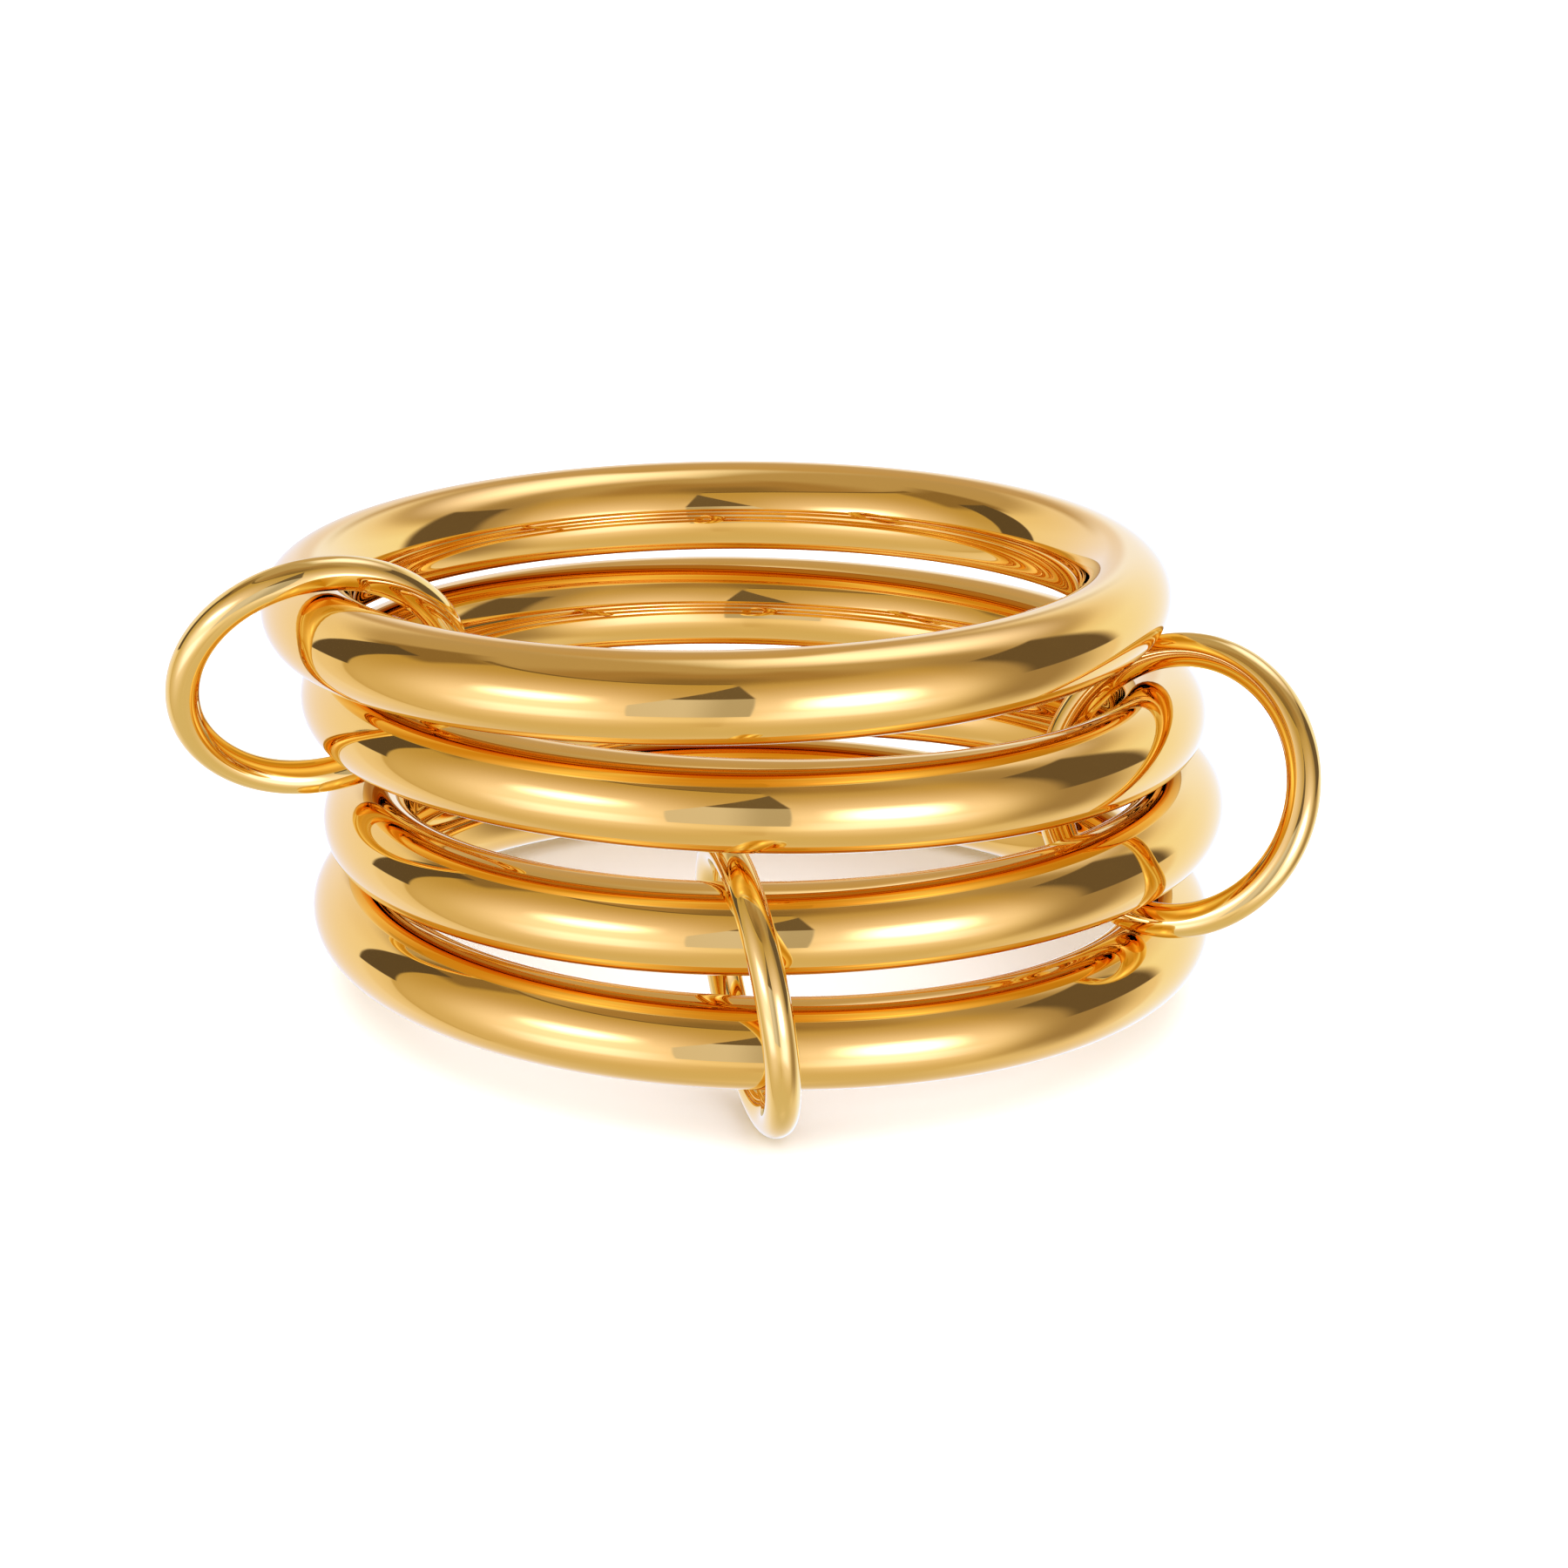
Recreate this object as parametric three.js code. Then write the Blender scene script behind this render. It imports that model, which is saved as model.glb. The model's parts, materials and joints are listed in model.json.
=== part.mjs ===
// Stackable ring: four plain bands of round gold wire, joined one to the next by three small closed links.
// Lengths are in millimetres and angles in degrees. +Z is up, and the front of the ring faces -Y.
import * as THREE from "three";

// Diameter of the finger hole in every band.
const FINGER_HOLE = 17.4;
// Diameter of the round wire of the bands.
const BAND_WIRE = 2.2;
// Diameter of the round wire of the links.
const LINK_WIRE = 0.83;
// How far a link can still slide across the two bands that it holds.
const LINK_PLAY = 0.37;
// Air left between two pieces where one rests on the other.
const CLEARANCE = 0.04;

const GOLD = { color: 0xd6a54a, roughness: 0.12, metalness: 1.0 };
const BAND_FACETS = { section: 16, around: 64 };
const LINK_FACETS = { section: 12, around: 36 };

// The bands from the lowest to the highest. slide is how far each has slid over the band below it,
// as shares of the band radius. Each lies open over the band below at the azimuth openAt and closes
// towards the far side. The gap left there is the clearance plus play, in shares of the link wire.
const BANDS = [
  { name: "band_4" },
  { name: "band_3", slide: [0.024, -0.033], openAt: 327, openPlay: 0.03, closedPlay: 0.0 },
  { name: "band_2", slide: [-0.055, -0.076], openAt: 218, openPlay: 0.33, closedPlay: 0.18 },
  { name: "band_1", slide: [-0.097, -0.067], openAt: 349, openPlay: 0.0, closedPlay: 0.15 },
];

// Each link holds two neighbouring bands at the azimuth at. out is how far its centre lies outside their
// wire, in shares of the link radius, and lift how far above their middle, in shares of the link wire.
// turn swings it about the vertical and lean tips its upper half towards larger azimuths. The last link
// hangs below the lowest band.
const LINKS = [
  { name: "link_12", upper: "band_1", lower: "band_2", at: 194.3, out: 0.123, lift: -0.154, turn: 0.4, lean: 24.5 },
  { name: "link_23", upper: "band_2", lower: "band_3", at: 343.6, out: 0.162, lift: 0.125, turn: -11.5, lean: 21.1 },
  { name: "link_34", upper: "band_3", lower: "band_4", at: 267.7, out: -0.136, lift: -0.141, turn: 15.2, lean: -9.2 },
];

const bandRadius = (FINGER_HOLE + BAND_WIRE) / 2;
const openGap = LINK_WIRE + 2 * CLEARANCE;
const linkHole = 2 * BAND_WIRE + openGap + LINK_PLAY;
const linkRadius = (linkHole + LINK_WIRE) / 2;

const rad = THREE.MathUtils.degToRad;

function direction(azimuth, elevation = 0) {
  const flat = Math.cos(rad(elevation));
  return new THREE.Vector3(
    flat * Math.cos(rad(azimuth)),
    flat * Math.sin(rad(azimuth)),
    Math.sin(rad(elevation)),
  );
}

function heightAt(plane, x, y) {
  return plane.centre.z + plane.slope.x * (x - plane.centre.x) + plane.slope.y * (y - plane.centre.y);
}

// The plane of a band that lies on another: one wire higher, and open towards one side.
function planeOver(below, band) {
  const open = openGap + band.openPlay * LINK_WIRE;
  const closed = CLEARANCE + band.closedPlay * LINK_WIRE;
  const rise = (open - closed) / (2 * bandRadius);
  const towards = direction(band.openAt);
  const slope = new THREE.Vector2(below.slope.x + rise * towards.x, below.slope.y + rise * towards.y);
  const slideX = band.slide[0] * bandRadius;
  const slideY = band.slide[1] * bandRadius;
  const x = below.centre.x + slideX;
  const y = below.centre.y + slideY;
  const gap = (open + closed) / 2 + rise * (slideX * towards.x + slideY * towards.y);
  const centre = new THREE.Vector3(x, y, heightAt(below, x, y) + BAND_WIRE + gap);
  return { centre, slope };
}

function bandPlanes() {
  const planes = new Map();
  let plane = { centre: new THREE.Vector3(), slope: new THREE.Vector2() };
  for (const band of BANDS) {
    plane = band.slide ? planeOver(plane, band) : plane;
    planes.set(band.name, plane);
  }
  return planes;
}

function linkPose(link, planes) {
  const upper = planes.get(link.upper);
  const lower = planes.get(link.lower);
  const middle = upper.centre.clone().add(lower.centre).multiplyScalar(0.5);
  const centre = middle.addScaledVector(direction(link.at), bandRadius + link.out * linkRadius);
  const held = (heightAt(upper, centre.x, centre.y) + heightAt(lower, centre.x, centre.y)) / 2;
  centre.z = held + link.lift * LINK_WIRE;
  return { centre, normal: direction(link.at + 90 + link.turn, -link.lean) };
}

function wireRing(name, radius, wire, facets, pose) {
  const geometry = new THREE.TorusGeometry(radius, wire / 2, facets.section, facets.around);
  const mesh = new THREE.Mesh(geometry, new THREE.MeshStandardMaterial(GOLD));
  mesh.name = name;
  mesh.position.copy(pose.centre);
  mesh.quaternion.setFromUnitVectors(new THREE.Vector3(0, 0, 1), pose.normal);
  return mesh;
}

// The lowest point of the centre line of a link's wire.
function lowestPoint(pose) {
  const down = new THREE.Vector3(0, 0, -1).projectOnPlane(pose.normal).normalize();
  return pose.centre.clone().addScaledVector(down, linkRadius);
}

// The front link reaches below the lowest band, so the ring rests on that link and on the band's rear.
function restAngle(frontLink) {
  const foot = lowestPoint(frontLink);
  const span = bandRadius - foot.y;
  const sink = -foot.z;
  const wires = (BAND_WIRE - LINK_WIRE) / 2;
  return Math.atan2(sink, span) - Math.asin(wires / Math.hypot(sink, span));
}

function bandRing(name, plane) {
  const normal = new THREE.Vector3(-plane.slope.x, -plane.slope.y, 1).normalize();
  return wireRing(name, bandRadius, BAND_WIRE, BAND_FACETS, { centre: plane.centre, normal });
}

function makeStack() {
  const planes = bandPlanes();
  const poses = LINKS.map((link) => linkPose(link, planes));
  const stack = new THREE.Group();
  stack.name = "stack";
  planes.forEach((plane, name) => stack.add(bandRing(name, plane)));
  LINKS.forEach((link, i) => stack.add(wireRing(link.name, linkRadius, LINK_WIRE, LINK_FACETS, poses[i])));
  stack.rotation.x = -restAngle(poses.at(-1));
  return stack;
}

// The origin is under the middle of the ring, on the surface that it rests on.
function standOnFloor(stack) {
  const box = new THREE.Box3().setFromObject(stack, true);
  const middle = box.getCenter(new THREE.Vector3());
  stack.position.set(-middle.x, -middle.y, -box.min.z);
  const ring = new THREE.Group();
  ring.name = "stackable_ring";
  ring.add(stack);
  return ring;
}

export default standOnFloor(makeStack());
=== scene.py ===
"""Stackable ring: smooth polished gold bands and links over the CAD frame, in a plain pale studio."""
import json
import math

import bpy
import numpy as np
from mathutils import Matrix, Vector

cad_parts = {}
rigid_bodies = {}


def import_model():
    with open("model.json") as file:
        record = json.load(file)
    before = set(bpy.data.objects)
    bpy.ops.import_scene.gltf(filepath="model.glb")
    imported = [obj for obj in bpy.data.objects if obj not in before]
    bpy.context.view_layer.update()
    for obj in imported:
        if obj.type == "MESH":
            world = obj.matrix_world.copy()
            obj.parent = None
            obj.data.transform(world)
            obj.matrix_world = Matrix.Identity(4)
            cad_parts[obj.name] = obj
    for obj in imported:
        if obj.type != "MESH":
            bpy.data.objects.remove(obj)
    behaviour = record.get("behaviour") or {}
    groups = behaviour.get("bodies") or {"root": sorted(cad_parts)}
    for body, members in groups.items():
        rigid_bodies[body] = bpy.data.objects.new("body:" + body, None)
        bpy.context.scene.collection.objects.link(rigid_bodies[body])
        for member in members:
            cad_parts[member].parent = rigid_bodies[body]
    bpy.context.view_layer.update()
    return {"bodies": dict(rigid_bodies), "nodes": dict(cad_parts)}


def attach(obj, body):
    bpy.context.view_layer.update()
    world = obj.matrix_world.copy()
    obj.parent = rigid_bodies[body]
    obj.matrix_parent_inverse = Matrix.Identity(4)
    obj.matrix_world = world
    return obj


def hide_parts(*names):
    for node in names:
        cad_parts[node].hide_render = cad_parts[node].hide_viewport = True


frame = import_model()

BANDS = ["band_1", "band_2", "band_3", "band_4"]
LINKS = ["link_12", "link_23", "link_34"]
BODY = sorted(frame["bodies"])[0]

MM = 0.001
MICRON = 0.000001


# Camera

# The photograph's view. The place and the lens are in millimetres, the angles in degrees and the range that
# the camera sees in metres. It looks down by the elevation, towards +Y at azimuth 0.
CAMERA_PLACE = (0.8, -215.5, 91.8)
CAMERA_ELEVATION = 21.86
CAMERA_AZIMUTH = 0.05
CAMERA_ROLL = 1.4
CAMERA_LENS = 221
CAMERA_SENSOR = 36
CAMERA_SEES = (0.005, 20)


def add_camera():
    angles = (CAMERA_ELEVATION, CAMERA_AZIMUTH, CAMERA_ROLL)
    e, a, r = (math.radians(angle) for angle in angles)
    forward = Vector((math.sin(a) * math.cos(e), math.cos(a) * math.cos(e), -math.sin(e)))
    level = Vector((math.cos(a), -math.sin(a), 0))
    upright = level.cross(forward)
    right = math.cos(r) * level + math.sin(r) * upright
    up = math.cos(r) * upright - math.sin(r) * level
    data = bpy.data.cameras.new("camera")
    data.lens = CAMERA_LENS
    data.sensor_width = CAMERA_SENSOR
    data.clip_start, data.clip_end = CAMERA_SEES
    camera = bpy.data.objects.new("camera", data)
    turn = Matrix((right, up, -forward)).transposed().to_4x4()
    camera.matrix_world = Matrix.Translation(Vector(CAMERA_PLACE) * MM) @ turn
    bpy.context.scene.collection.objects.link(camera)
    bpy.context.scene.camera = camera


add_camera()


# Rings of wire

# Steps around the ring and around its wire.
BAND_STEPS = (288, 48)
LINK_STEPS = (176, 40)


def ring_in(node):
    """Centre, axis, ring radius and wire radius of the wire ring that a CAD node holds. The axis points to
    the rear."""
    points = np.array([v.co for v in node.data.vertices], float)
    points = np.unique(points.round(8), axis=0)
    centre = points.mean(axis=0)
    axis = np.linalg.svd(points - centre, full_matrices=False)[2][2]
    axis = axis if axis[1] > 0 else -axis
    height = (points - centre) @ axis
    out = np.linalg.norm(points - centre - np.outer(height, axis), axis=1)
    wire = np.abs(height).max()
    return centre, axis, out.max() - wire, wire


def circle(angle):
    """The point at each angle on a circle of radius 1."""
    return np.stack([np.cos(angle), np.sin(angle), np.zeros_like(angle)], axis=-1)


def keep_vectors(mesh, name, vectors):
    """Stores a vector for each point of the mesh, for its material to read."""
    attribute = mesh.attributes.new(name, "FLOAT_VECTOR", "POINT")
    attribute.data.foreach_set("vector", vectors.astype(np.float32).ravel())


def smooth_ring(name, node, steps):
    """A fine ring of round wire. Its mesh keeps the angle around the ring and around the wire."""
    centre, axis, radius, wire = ring_in(node)
    around, section = steps
    side = np.cross((0, 1, 0), axis)
    side /= np.linalg.norm(side)
    far = np.cross(axis, side)
    angles = [np.arange(count) * math.tau / count for count in steps]
    u, v = np.meshgrid(*angles, indexing="ij")
    out = np.cos(u)[..., None] * side + np.sin(u)[..., None] * far
    points = centre + (radius + wire * np.cos(v))[..., None] * out + (wire * np.sin(v))[..., None] * axis
    index = np.arange(around * section).reshape(around, section)
    ahead = np.roll(index, -1, axis=0)
    faces = np.stack([index, ahead, np.roll(ahead, -1, axis=1), np.roll(index, -1, axis=1)], axis=-1)
    mesh = bpy.data.meshes.new(name)
    mesh.from_pydata(points.reshape(-1, 3).tolist(), [], faces.reshape(-1, 4).tolist())
    mesh.shade_smooth()
    keep_vectors(mesh, "along", circle(u))
    keep_vectors(mesh, "across", circle(v))
    mesh.update()
    piece = bpy.data.objects.new(name, mesh)
    bpy.context.scene.collection.objects.link(piece)
    return piece


# Materials

def feed(socket, value):
    """Sets a socket to a number or a colour, or links it to the output of a node."""
    if isinstance(value, bpy.types.NodeSocket):
        socket.id_data.links.new(value, socket)
    elif isinstance(value, tuple):
        socket.default_value = (*value, 1)
    else:
        socket.default_value = value


def math_node(tree, operation, *values):
    node = tree.nodes.new("ShaderNodeMath")
    node.operation = operation
    for socket, value in zip(node.inputs, values):
        feed(socket, value)
    return node.outputs[0]


def mixed(tree, share, first, second, mode="MIX"):
    """The first colour with the second laid over it or added to it, by its share."""
    mix = tree.nodes.new("ShaderNodeMix")
    mix.data_type = "RGBA"
    mix.blend_type = mode
    sockets = {socket.identifier: socket for socket in (*mix.inputs, *mix.outputs)}
    feed(sockets["Factor_Float"], share)
    feed(sockets["A_Color"], first)
    feed(sockets["B_Color"], second)
    return sockets["Result_Color"]


def ramp(tree, value, start, end, low, high):
    """Low up to start, high from end on, and smooth between them."""
    node = tree.nodes.new("ShaderNodeMapRange")
    node.interpolation_type = "SMOOTHSTEP"
    feed(node.inputs["Value"], value)
    for name, number in zip(("From Min", "From Max", "To Min", "To Max"), (start, end, low, high)):
        feed(node.inputs[name], number)
    return node.outputs["Result"]


def wire_noise(tree, features, detail, seed):
    """Noise that has no seam on a ring, with so many features around the wire and around the ring."""
    angles = []
    for name, times in zip(("across", "along"), features):
        attribute = tree.nodes.new("ShaderNodeAttribute")
        attribute.attribute_name = name
        split = tree.nodes.new("ShaderNodeSeparateXYZ")
        feed(split.inputs[0], attribute.outputs["Vector"])
        angles += [math_node(tree, "MULTIPLY", split.outputs[i], times / math.tau) for i in (0, 1)]
    place = tree.nodes.new("ShaderNodeCombineXYZ")
    feed(place.inputs[0], angles[0])
    feed(place.inputs[1], angles[1])
    feed(place.inputs[2], math_node(tree, "ADD", angles[2], seed))
    noise = tree.nodes.new("ShaderNodeTexNoise")
    noise.noise_dimensions = "4D"
    feed(noise.inputs["Scale"], 1)
    feed(noise.inputs["Detail"], detail)
    feed(noise.inputs["Vector"], place.outputs[0])
    feed(noise.inputs["W"], angles[3])
    return noise.outputs["Fac"]


# Heights of the ripples and of the polishing lines, in microns.
RIPPLE_HEIGHT = 4
LINE_HEIGHT = 0.11
# Roughness of clean gold and of a dull spot, and what a scratch adds to it.
POLISHED, DULL, SCRATCHED = 0.025, 0.06, 0.04
# The values of the noise, from 0 to 1, over which a polishing line grows to a scratch and a spot gets dull.
LINE_TO_SCRATCH = (0.62, 0.76)
CLEAN_TO_DULL = (0.5, 0.8)


def polished_gold(name, dark, light, ripples, lines, spots, seed):
    """Mirror-polished gold with long shallow ripples, fine polishing lines and small dull spots."""
    material = bpy.data.materials.new(name)
    material.use_nodes = True
    tree = material.node_tree
    shader = tree.nodes["Principled BSDF"]
    feed(shader.inputs["Metallic"], 1)

    ripple = wire_noise(tree, ripples, detail=1, seed=seed)
    line = wire_noise(tree, lines, detail=3, seed=seed + 7)
    spot = wire_noise(tree, spots, detail=2, seed=seed + 19)
    feed(shader.inputs["Base Color"], mixed(tree, ripple, dark, light))

    scratches = ramp(tree, line, *LINE_TO_SCRATCH, 0, SCRATCHED)
    dullness = ramp(tree, spot, *CLEAN_TO_DULL, POLISHED, DULL)
    feed(shader.inputs["Roughness"], math_node(tree, "ADD", scratches, dullness))

    ripple_height = math_node(tree, "MULTIPLY", ripple, RIPPLE_HEIGHT)
    line_height = math_node(tree, "MULTIPLY", line, LINE_HEIGHT)
    bump = tree.nodes.new("ShaderNodeBump")
    feed(bump.inputs["Strength"], 1)
    feed(bump.inputs["Distance"], MICRON)
    feed(bump.inputs["Height"], math_node(tree, "ADD", ripple_height, line_height))
    feed(shader.inputs["Normal"], bump.outputs["Normal"])
    return material


# The gold's colour in the troughs and on the tops of its ripples, and how many ripples, polishing lines and
# dull spots lie around the wire and around the ring.
BAND_GOLD = polished_gold(
    "band_gold",
    dark=(0.92, 0.525, 0.12),
    light=(0.945, 0.56, 0.14),
    ripples=(5, 14),
    lines=(90, 40),
    spots=(18, 64),
    seed=1,
)
LINK_GOLD = polished_gold(
    "link_gold",
    dark=(0.93, 0.57, 0.15),
    light=(0.955, 0.61, 0.175),
    ripples=(4, 8),
    lines=(50, 26),
    spots=(10, 41.6),
    seed=3,
)


def add_rings(names, steps, gold):
    """Puts a smooth ring in the place of each CAD node."""
    for name in names:
        piece = smooth_ring("smooth_" + name, frame["nodes"][name], steps)
        piece.data.materials.append(gold)
        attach(piece, BODY)
        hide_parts(name)


add_rings(BANDS, BAND_STEPS, BAND_GOLD)
add_rings(LINKS, LINK_STEPS, LINK_GOLD)


# Floor

FLOOR_RADIUS = 1.5
FLOOR_STEPS = 96
FLOOR_COLOUR = (0.86, 0.86, 0.86)
FLOOR_ROUGHNESS = 0.45


def add_floor():
    """A plain pale disc. The gold doesn't mirror it, but the studio's table in its place."""
    rim = circle(np.arange(FLOOR_STEPS) * math.tau / FLOOR_STEPS) * FLOOR_RADIUS
    mesh = bpy.data.meshes.new("floor")
    mesh.from_pydata(rim.tolist(), [], [list(range(FLOOR_STEPS))])
    material = bpy.data.materials.new("floor_paint")
    material.use_nodes = True
    shader = material.node_tree.nodes["Principled BSDF"]
    feed(shader.inputs["Base Color"], FLOOR_COLOUR)
    feed(shader.inputs["Roughness"], FLOOR_ROUGHNESS)
    mesh.materials.append(material)
    floor = bpy.data.objects.new("floor", mesh)
    bpy.context.scene.collection.objects.link(floor)
    floor.visible_glossy = False


add_floor()


# Studio

# What the gold mirrors, by the direction in which it stands from the ring. All of it is made of soft-edged
# patches. Azimuth 0 is on the camera's side and + is towards +X. Angles are in degrees.


def shape(at, half, soft, lean=0):
    """A patch: azimuth and elevation of its middle, half its width and height, the width of its side edges
    and of its upper and lower edges, and how much its azimuth grows per degree of height."""
    return at, half, soft, lean


def card(at, half, soft, tint):
    """A patch that hides what is behind it."""
    return shape(at, half, soft), tint, "MIX"


def glow(at, half, soft, tint):
    """A patch of light that is added to what is there."""
    return shape(at, half, soft), tint, "ADD"


# Half sizes of a patch that goes all the way round or from nadir to zenith, with room for its edges.
ALL_ROUND = 200
FULL_HEIGHT = 180

ROOM = (0.9, 0.95, 1.1)
CEILING = [
    card((0, 75), (ALL_ROUND, 45), (1, 12), (0.52, 0.49, 0.46)),
    # darker over the front
    card((-10, 65), (70, 15), (40, 12), (0.4, 0.32, 0.22)),
    card((-10, 57), (25, 10), (35, 12), (0.27, 0.22, 0.15)),
    # lighter at the rear
    card((180, 65), (15, 18), (25, 12), (0.67, 0.74, 0.95)),
]
REAR_WALLS = [
    card((-145, -15), (27, 32), (6, 18), (0.95, 1.05, 1.35)),
    card((150, -10), (30, 32), (6, 18), (1.0, 1.2, 1.6)),
    # a lamp above the right one
    glow((150, 60), (28, 15), (50, 28), (1.1, 1.4, 3.2)),
    # a darker column over the gap between them
    card((-175, 35), (12, 20), (8, 12), (0.57, 0.51, 0.43)),
]


def front_panel(middle, half_width, soft, lamp, lamp_half_height):
    """A panel in front of the ring, with a lamp on it."""
    lamp_azimuth, lamp_elevation = lamp
    return [
        # the panel and its lighter foot
        card((middle, -1), (half_width, 53), soft, (0.55, 0.48, 0.26)),
        card((middle, -42), (half_width, 45), (20, 60), (0.72, 0.71, 0.67)),
        # a wide glow, the lamp and the lamp's image in the table
        glow((lamp_azimuth, -6), (26, 29), (50, 68), (0.7, 0.9, 2.25)),
        glow((lamp_azimuth, lamp_elevation), (10.5, lamp_half_height), (21, 18), (3.5, 4.0, 9.0)),
        glow((lamp_azimuth, -28), (18, 9), (24, 9), (0.34, 0.49, 1.5)),
    ]


LEFT_PANEL = front_panel(-50, 54.5, soft=(2, 2), lamp=(-46, 7), lamp_half_height=5)
RIGHT_PANEL = front_panel(42, 38, soft=(25, 20), lamp=(36, -2), lamp_half_height=11)
RAIL = [
    # dark, along the top of the left panel
    card((-50, 53), (54, 1), (2, 1), (0.2, 0.17, 0.12)),
]
DARK_CARDS = [
    # at the left, a soft one and an upright one below it
    card((-108, 42), (17, 11), (8, 8), (0.28, 0.23, 0.16)),
    card((-111, 15), (8.5, 22), (1.5, 1.5), (0.12, 0.11, 0.12)),
    # at the right, a wide soft one and a darker one in it
    card((90, 5), (16, 52), (25, 32), (0.38, 0.34, 0.31)),
    card((101, 19), (17, 22), (7, 2), (0.15, 0.135, 0.145)),
]
TABLE = [
    # light on it between the panels
    glow((0, -34), (22, 7), (24, 12), (0.15, 0.2, 0.35)),
    card((0, -75), (ALL_ROUND, 15), (1, 34), (0.71, 0.73, 0.72)),
]
STUDIO = CEILING + REAR_WALLS + LEFT_PANEL + RIGHT_PANEL + RAIL + DARK_CARDS + TABLE

# The window between the panels is a pentagon: it is light below its bar, brighter to the left, and dark
# above. Its left side leans all the way up, and its right side above the bar.
WINDOW_LEFT, WINDOW_RIGHT = -21, 10
WINDOW_SILL, WINDOW_BAR, WINDOW_TOP = -27, 16.5, 49.5
WINDOW_EDGE = (1, 1.5)
# Where the lower pane turns darker towards the right, and how wide that change is.
PANE_STEP, PANE_STEP_WIDTH = -2, 13
# Each part of the window is what two patches share, and their other sides lie well outside it.
FAR_LEFT, FAR_RIGHT = -56, 39
NADIR, ZENITH = -90, 90


def between(left, right, low, high, soft, lean=0):
    """A patch from its sides, at its middle height, and its lower and upper edges."""
    at = ((left + right) / 2, (low + high) / 2)
    half = ((right - left) / 2, (high - low) / 2)
    return shape(at, half, soft, lean)


LOWER_PANE = between(WINDOW_LEFT, WINDOW_RIGHT, WINDOW_SILL, WINDOW_BAR, WINDOW_EDGE)
UPPER_PANE = between(FAR_LEFT, WINDOW_RIGHT - 2, WINDOW_BAR, WINDOW_TOP, WINDOW_EDGE, lean=-0.13)
RIGHT_OF_LEFT_SIDE = between(WINDOW_LEFT, FAR_RIGHT, NADIR, ZENITH, (1, 1), lean=0.56)
RIGHT_PART = between(PANE_STEP, FAR_RIGHT, NADIR, ZENITH, (PANE_STEP_WIDTH, 1))
WINDOW = [
    (LOWER_PANE, RIGHT_OF_LEFT_SIDE, (0.74, 0.87, 1.5)),
    (LOWER_PANE, RIGHT_PART, (0.52, 0.59, 0.9)),
    (UPPER_PANE, RIGHT_OF_LEFT_SIDE, (0.17, 0.16, 0.18)),
]

# The studio is softer where the gold mirrors it by way of more gold: an upright lamp in each corner and a
# dark rear.
SOFT_ROOM = (0.72, 0.72, 0.26)
FRONT_LAMP = (1.15, 1.85, 3.5)
REAR_LAMP = (1.05, 1.5, 2.2)
SOFT_STUDIO = [
    card((-45, 0), (14, FULL_HEIGHT), (50, 1), FRONT_LAMP),
    card((45, 0), (14, FULL_HEIGHT), (50, 1), FRONT_LAMP),
    card((-135, 0), (12, FULL_HEIGHT), (45, 1), REAR_LAMP),
    card((135, 0), (12, FULL_HEIGHT), (45, 1), REAR_LAMP),
    card((180, -5), (17, 50), (24, 30), (0.3, 0.2, 0.1)),
]
# The softer studio's share grows from 0 to the largest between these two counts of reflections.
MIRRORED = (1, 2.4)
LARGEST_SHARE = 0.95

# The plain light that falls on the floor and fills what lies beyond it.
SKY = (2.8, 2.8, 2.8)


def within(tree, distance, half, edge):
    """1 where the distance is less than half, 0 where it is more, smooth over the edge."""
    return ramp(tree, distance, math.radians(half - edge / 2), math.radians(half + edge / 2), 1, 0)


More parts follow.
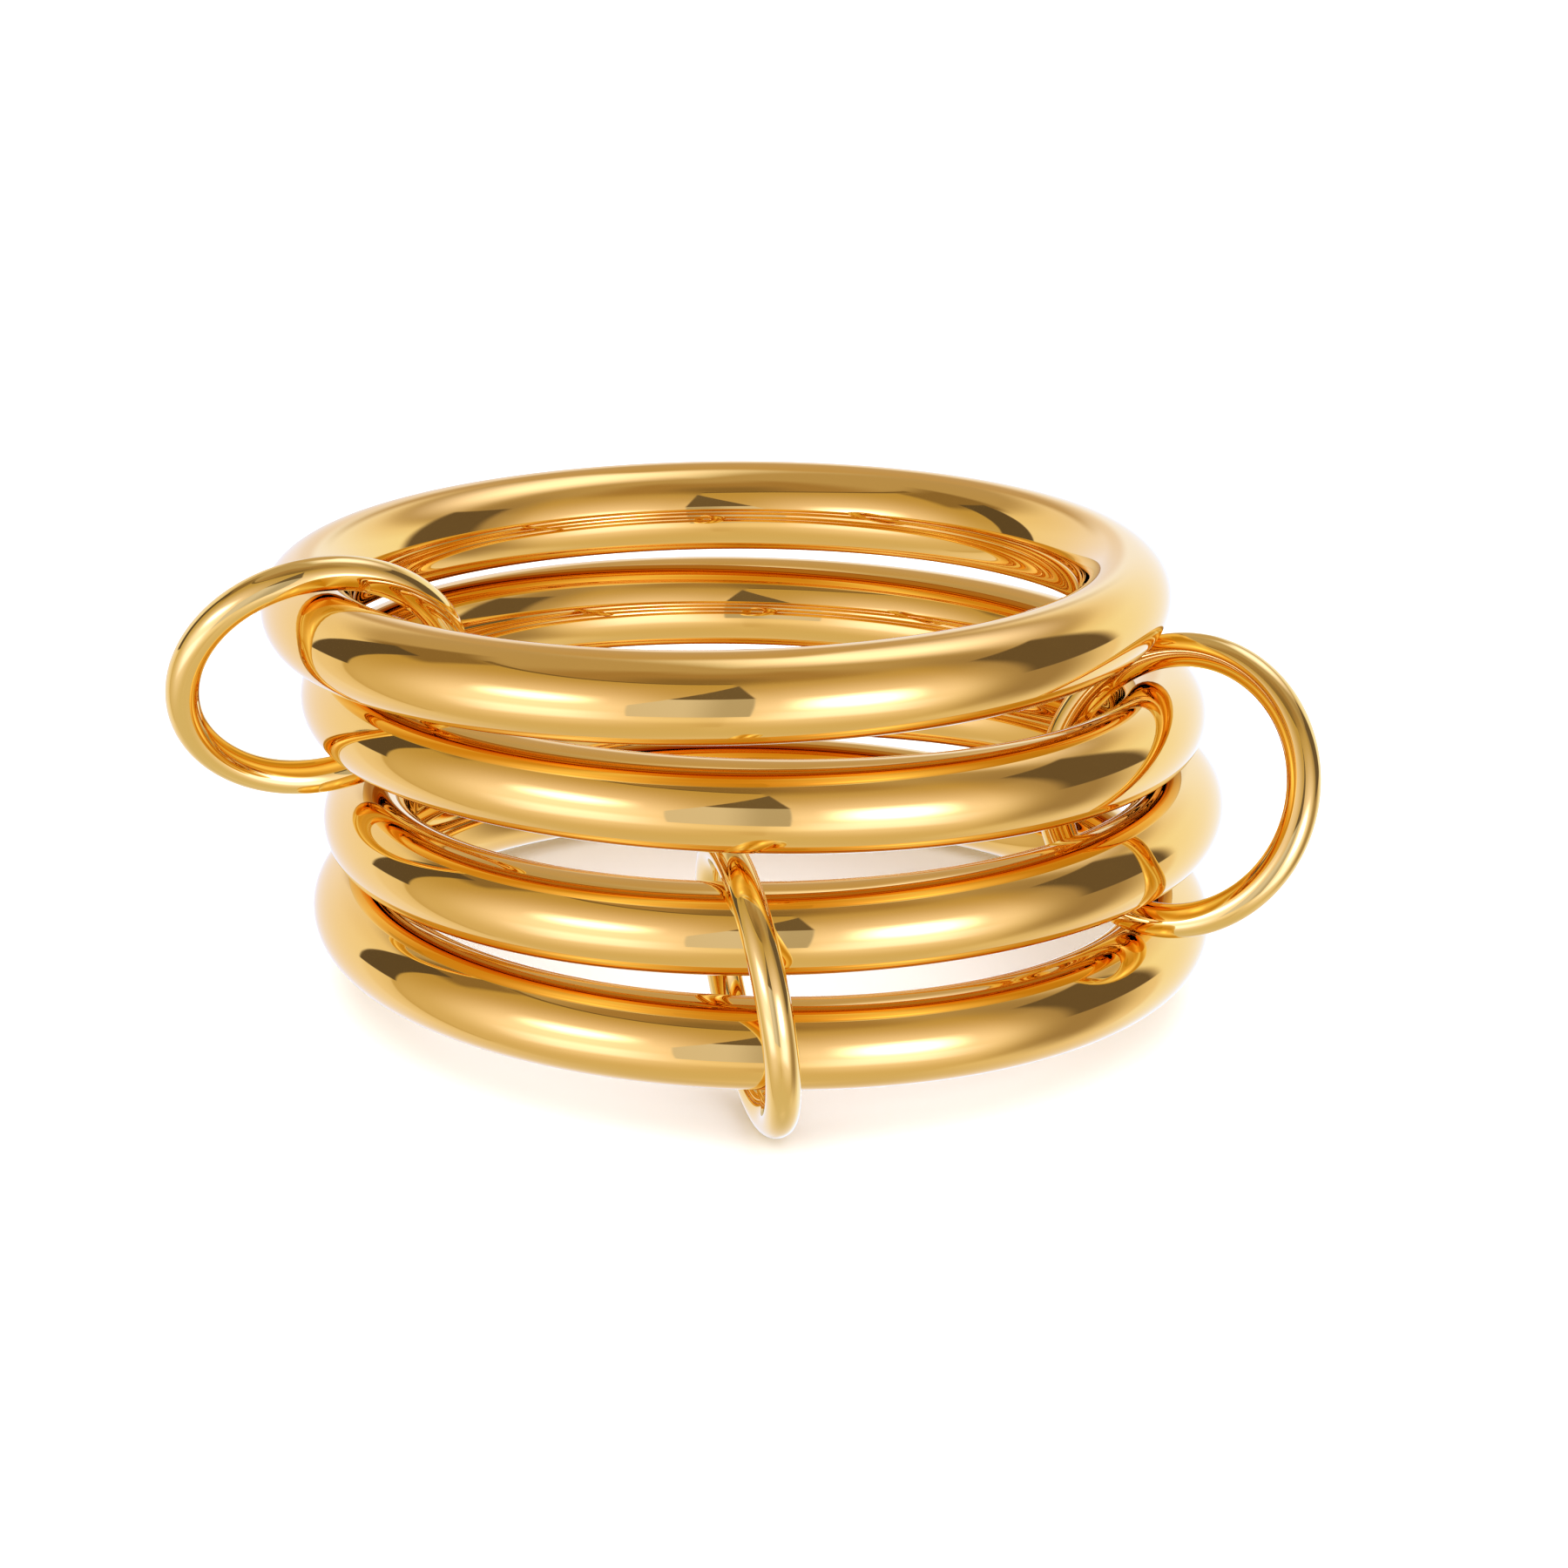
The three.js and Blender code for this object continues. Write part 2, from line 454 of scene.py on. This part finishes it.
def patch_share(direction, at, half, soft, lean):
    """1 in a patch and 0 outside it, for a direction's azimuth and elevation."""
    azimuth, elevation = direction
    tree = azimuth.id_data
    aside = math_node(tree, "SUBTRACT", azimuth, math.radians(at[0]))
    above = math_node(tree, "SUBTRACT", elevation, math.radians(at[1]))
    if lean:
        aside = math_node(tree, "SUBTRACT", aside, math_node(tree, "MULTIPLY", above, lean))
    aside = math_node(tree, "ABSOLUTE", math_node(tree, "WRAP", aside, math.pi, -math.pi))
    above = math_node(tree, "ABSOLUTE", above)
    shares = within(tree, aside, half[0], soft[0]), within(tree, above, half[1], soft[1])
    return math_node(tree, "MULTIPLY", *shares)


def room_colour(direction, room, patches):
    """The room's colour with each patch over the ones before it."""
    tree = direction[0].id_data
    colour = room
    for patch, tint, mode in patches:
        colour = mixed(tree, patch_share(direction, *patch), colour, tint, mode)
    return colour


def studio_world():
    """The floor and the camera get plain light, and the gold mirrors the studio."""
    world = bpy.data.worlds.new("studio")
    world.use_nodes = True
    tree = world.node_tree
    where = tree.nodes.new("ShaderNodeTexCoord").outputs["Generated"]
    split = tree.nodes.new("ShaderNodeSeparateXYZ")
    feed(split.inputs[0], where)
    x, y, z = split.outputs
    azimuth = math_node(tree, "ARCTAN2", x, math_node(tree, "MULTIPLY", y, -1))
    direction = azimuth, math_node(tree, "ARCSINE", z)
    colour = room_colour(direction, ROOM, STUDIO)
    for *patches, tint in WINDOW:
        shares = [patch_share(direction, *patch) for patch in patches]
        colour = mixed(tree, math_node(tree, "MULTIPLY", *shares), colour, tint)
    light_path = tree.nodes.new("ShaderNodeLightPath")
    again = ramp(tree, light_path.outputs["Glossy Depth"], *MIRRORED, 0, LARGEST_SHARE)
    colour = mixed(tree, again, colour, room_colour(direction, SOFT_ROOM, SOFT_STUDIO))
    plain = tree.nodes["Background"]
    feed(plain.inputs["Color"], SKY)
    studio = tree.nodes.new("ShaderNodeBackground")
    feed(studio.inputs["Color"], colour)
    mix = tree.nodes.new("ShaderNodeMixShader")
    feed(mix.inputs[0], light_path.outputs["Is Glossy Ray"])
    feed(mix.inputs[1], plain.outputs[0])
    feed(mix.inputs[2], studio.outputs[0])
    feed(tree.nodes["World Output"].inputs["Surface"], mix.outputs[0])
    bpy.context.scene.world = world


studio_world()

view = bpy.context.scene.view_settings
view.view_transform = "Standard"
view.look = "None"
